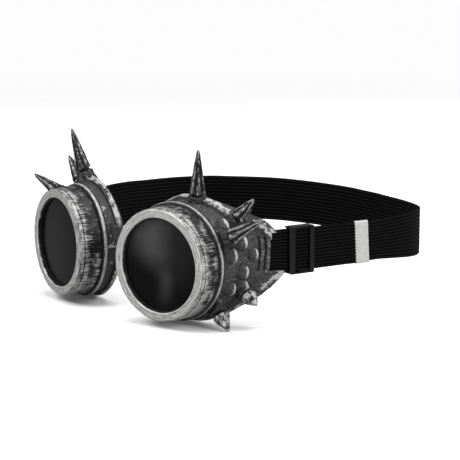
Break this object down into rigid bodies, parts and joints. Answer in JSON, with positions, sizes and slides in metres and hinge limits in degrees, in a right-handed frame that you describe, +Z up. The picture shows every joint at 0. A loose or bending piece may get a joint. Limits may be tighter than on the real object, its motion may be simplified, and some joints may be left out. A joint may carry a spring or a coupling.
{
  "type": "steampunk goggles",
  "caption": "Round-lens goggles with unscrewing silver bezels, spiked dark eye cups with hooded vents, a flexible nose bridge and a ribbed elastic head strap with a slider.",
  "frame": {"origin": "midway between the two cups' face rims at lens-centre height, where the bridge of the wearer's nose sits", "axes": "+X to the wearer's left, -Y the way the wearer looks, +Z up; lens axes splay outward by 10.2 degrees"},
  "size_m": [0.1795, 0.1755, 0.0885],
  "materials": {
    "cup_plastic": "dark moulded plastic, silver dry-brushed on raised edges",
    "bezel_silver": "antique silver coat, brushed front, streaked and worn to black towards the rear",
    "dark_lens": "polished, near-black tint",
    "black_rubber": "matt",
    "spike_metal": "dark antique silver, ridges rubbed bright",
    "stud_metal": "faceted antique silver with dark hollows",
    "screw_steel": "plain",
    "bridge_rubber": "matt, smooth",
    "elastic_webbing": "woven elastic with lengthwise ribs",
    "label_tape": "blank woven tape",
    "slider_plastic": "semi-gloss moulded"
  },
  "bodies": {
    "right_half": {"right_eye_cup": "cup_plastic", "right_spike_top": "spike_metal", "right_spike_mid": "spike_metal", "right_spike_side": "spike_metal", "right_short_spike_rear": "stud_metal", "right_short_spike_front": "stud_metal", "right_spike_screws": "screw_steel", "nose_bridge": "bridge_rubber", "strap_right": "elastic_webbing", "strap_back": "elastic_webbing"},
    "left_half": {"left_eye_cup": "cup_plastic", "left_spike_top": "spike_metal", "left_spike_mid": "spike_metal", "left_spike_side": "spike_metal", "left_short_spike_rear": "stud_metal", "left_short_spike_front": "stud_metal", "left_spike_screws": "screw_steel", "strap_left": "elastic_webbing", "strap_return": "elastic_webbing", "strap_tag": "label_tape"},
    "left_lens_set": {"left_lens": "dark_lens", "left_lens_gasket": "black_rubber"},
    "left_bezel_ring": {"left_bezel": "bezel_silver"},
    "right_lens_set": {"right_lens": "dark_lens", "right_lens_gasket": "black_rubber"},
    "right_bezel_ring": {"right_bezel": "bezel_silver"},
    "slider": {"strap_slider": "slider_plastic"}
  },
  "joints": [
    {"name": "bridge_flex", "type": "hinge", "parent": "right_half", "child": "left_half", "pos_m": [0, -0.0124, 0.0076], "axis": [0, 0, 1], "range_deg": [-15, 20], "stiffness_Nm_per_rad": 0.06, "deforming": ["nose_bridge", "strap_back"]},
    {"name": "left_bezel_travel", "type": "slide", "parent": "left_half", "child": "left_lens_set", "axis": [0.1771, -0.9842, 0], "range_m": [0, 0.00505]},
    {"name": "left_bezel_turn", "type": "hinge", "parent": "left_lens_set", "child": "left_bezel_ring", "pos_m": [0.04133, -0.026, 0], "axis": [0.1771, -0.9842, 0], "range_deg": [0, 900]},
    {"name": "right_bezel_travel", "type": "slide", "parent": "right_half", "child": "right_lens_set", "axis": [-0.1771, -0.9842, 0], "range_m": [0, 0.00505]},
    {"name": "right_bezel_turn", "type": "hinge", "parent": "right_lens_set", "child": "right_bezel_ring", "pos_m": [-0.04133, -0.026, 0], "axis": [-0.1771, -0.9842, 0], "range_deg": [0, 900]},
    {"name": "strap_adjust", "type": "slide", "parent": "left_half", "child": "slider", "axis": [0.1564, 0.9877, 0], "range_m": [-0.003, 0.025], "deforming": ["strap_return"]}
  ],
  "couplings": [
    {"joint": "left_bezel_travel", "follows": "left_bezel_turn", "m_per_rad": 0.00031831},
    {"joint": "right_bezel_travel", "follows": "right_bezel_turn", "m_per_rad": 0.00031831}
  ]
}
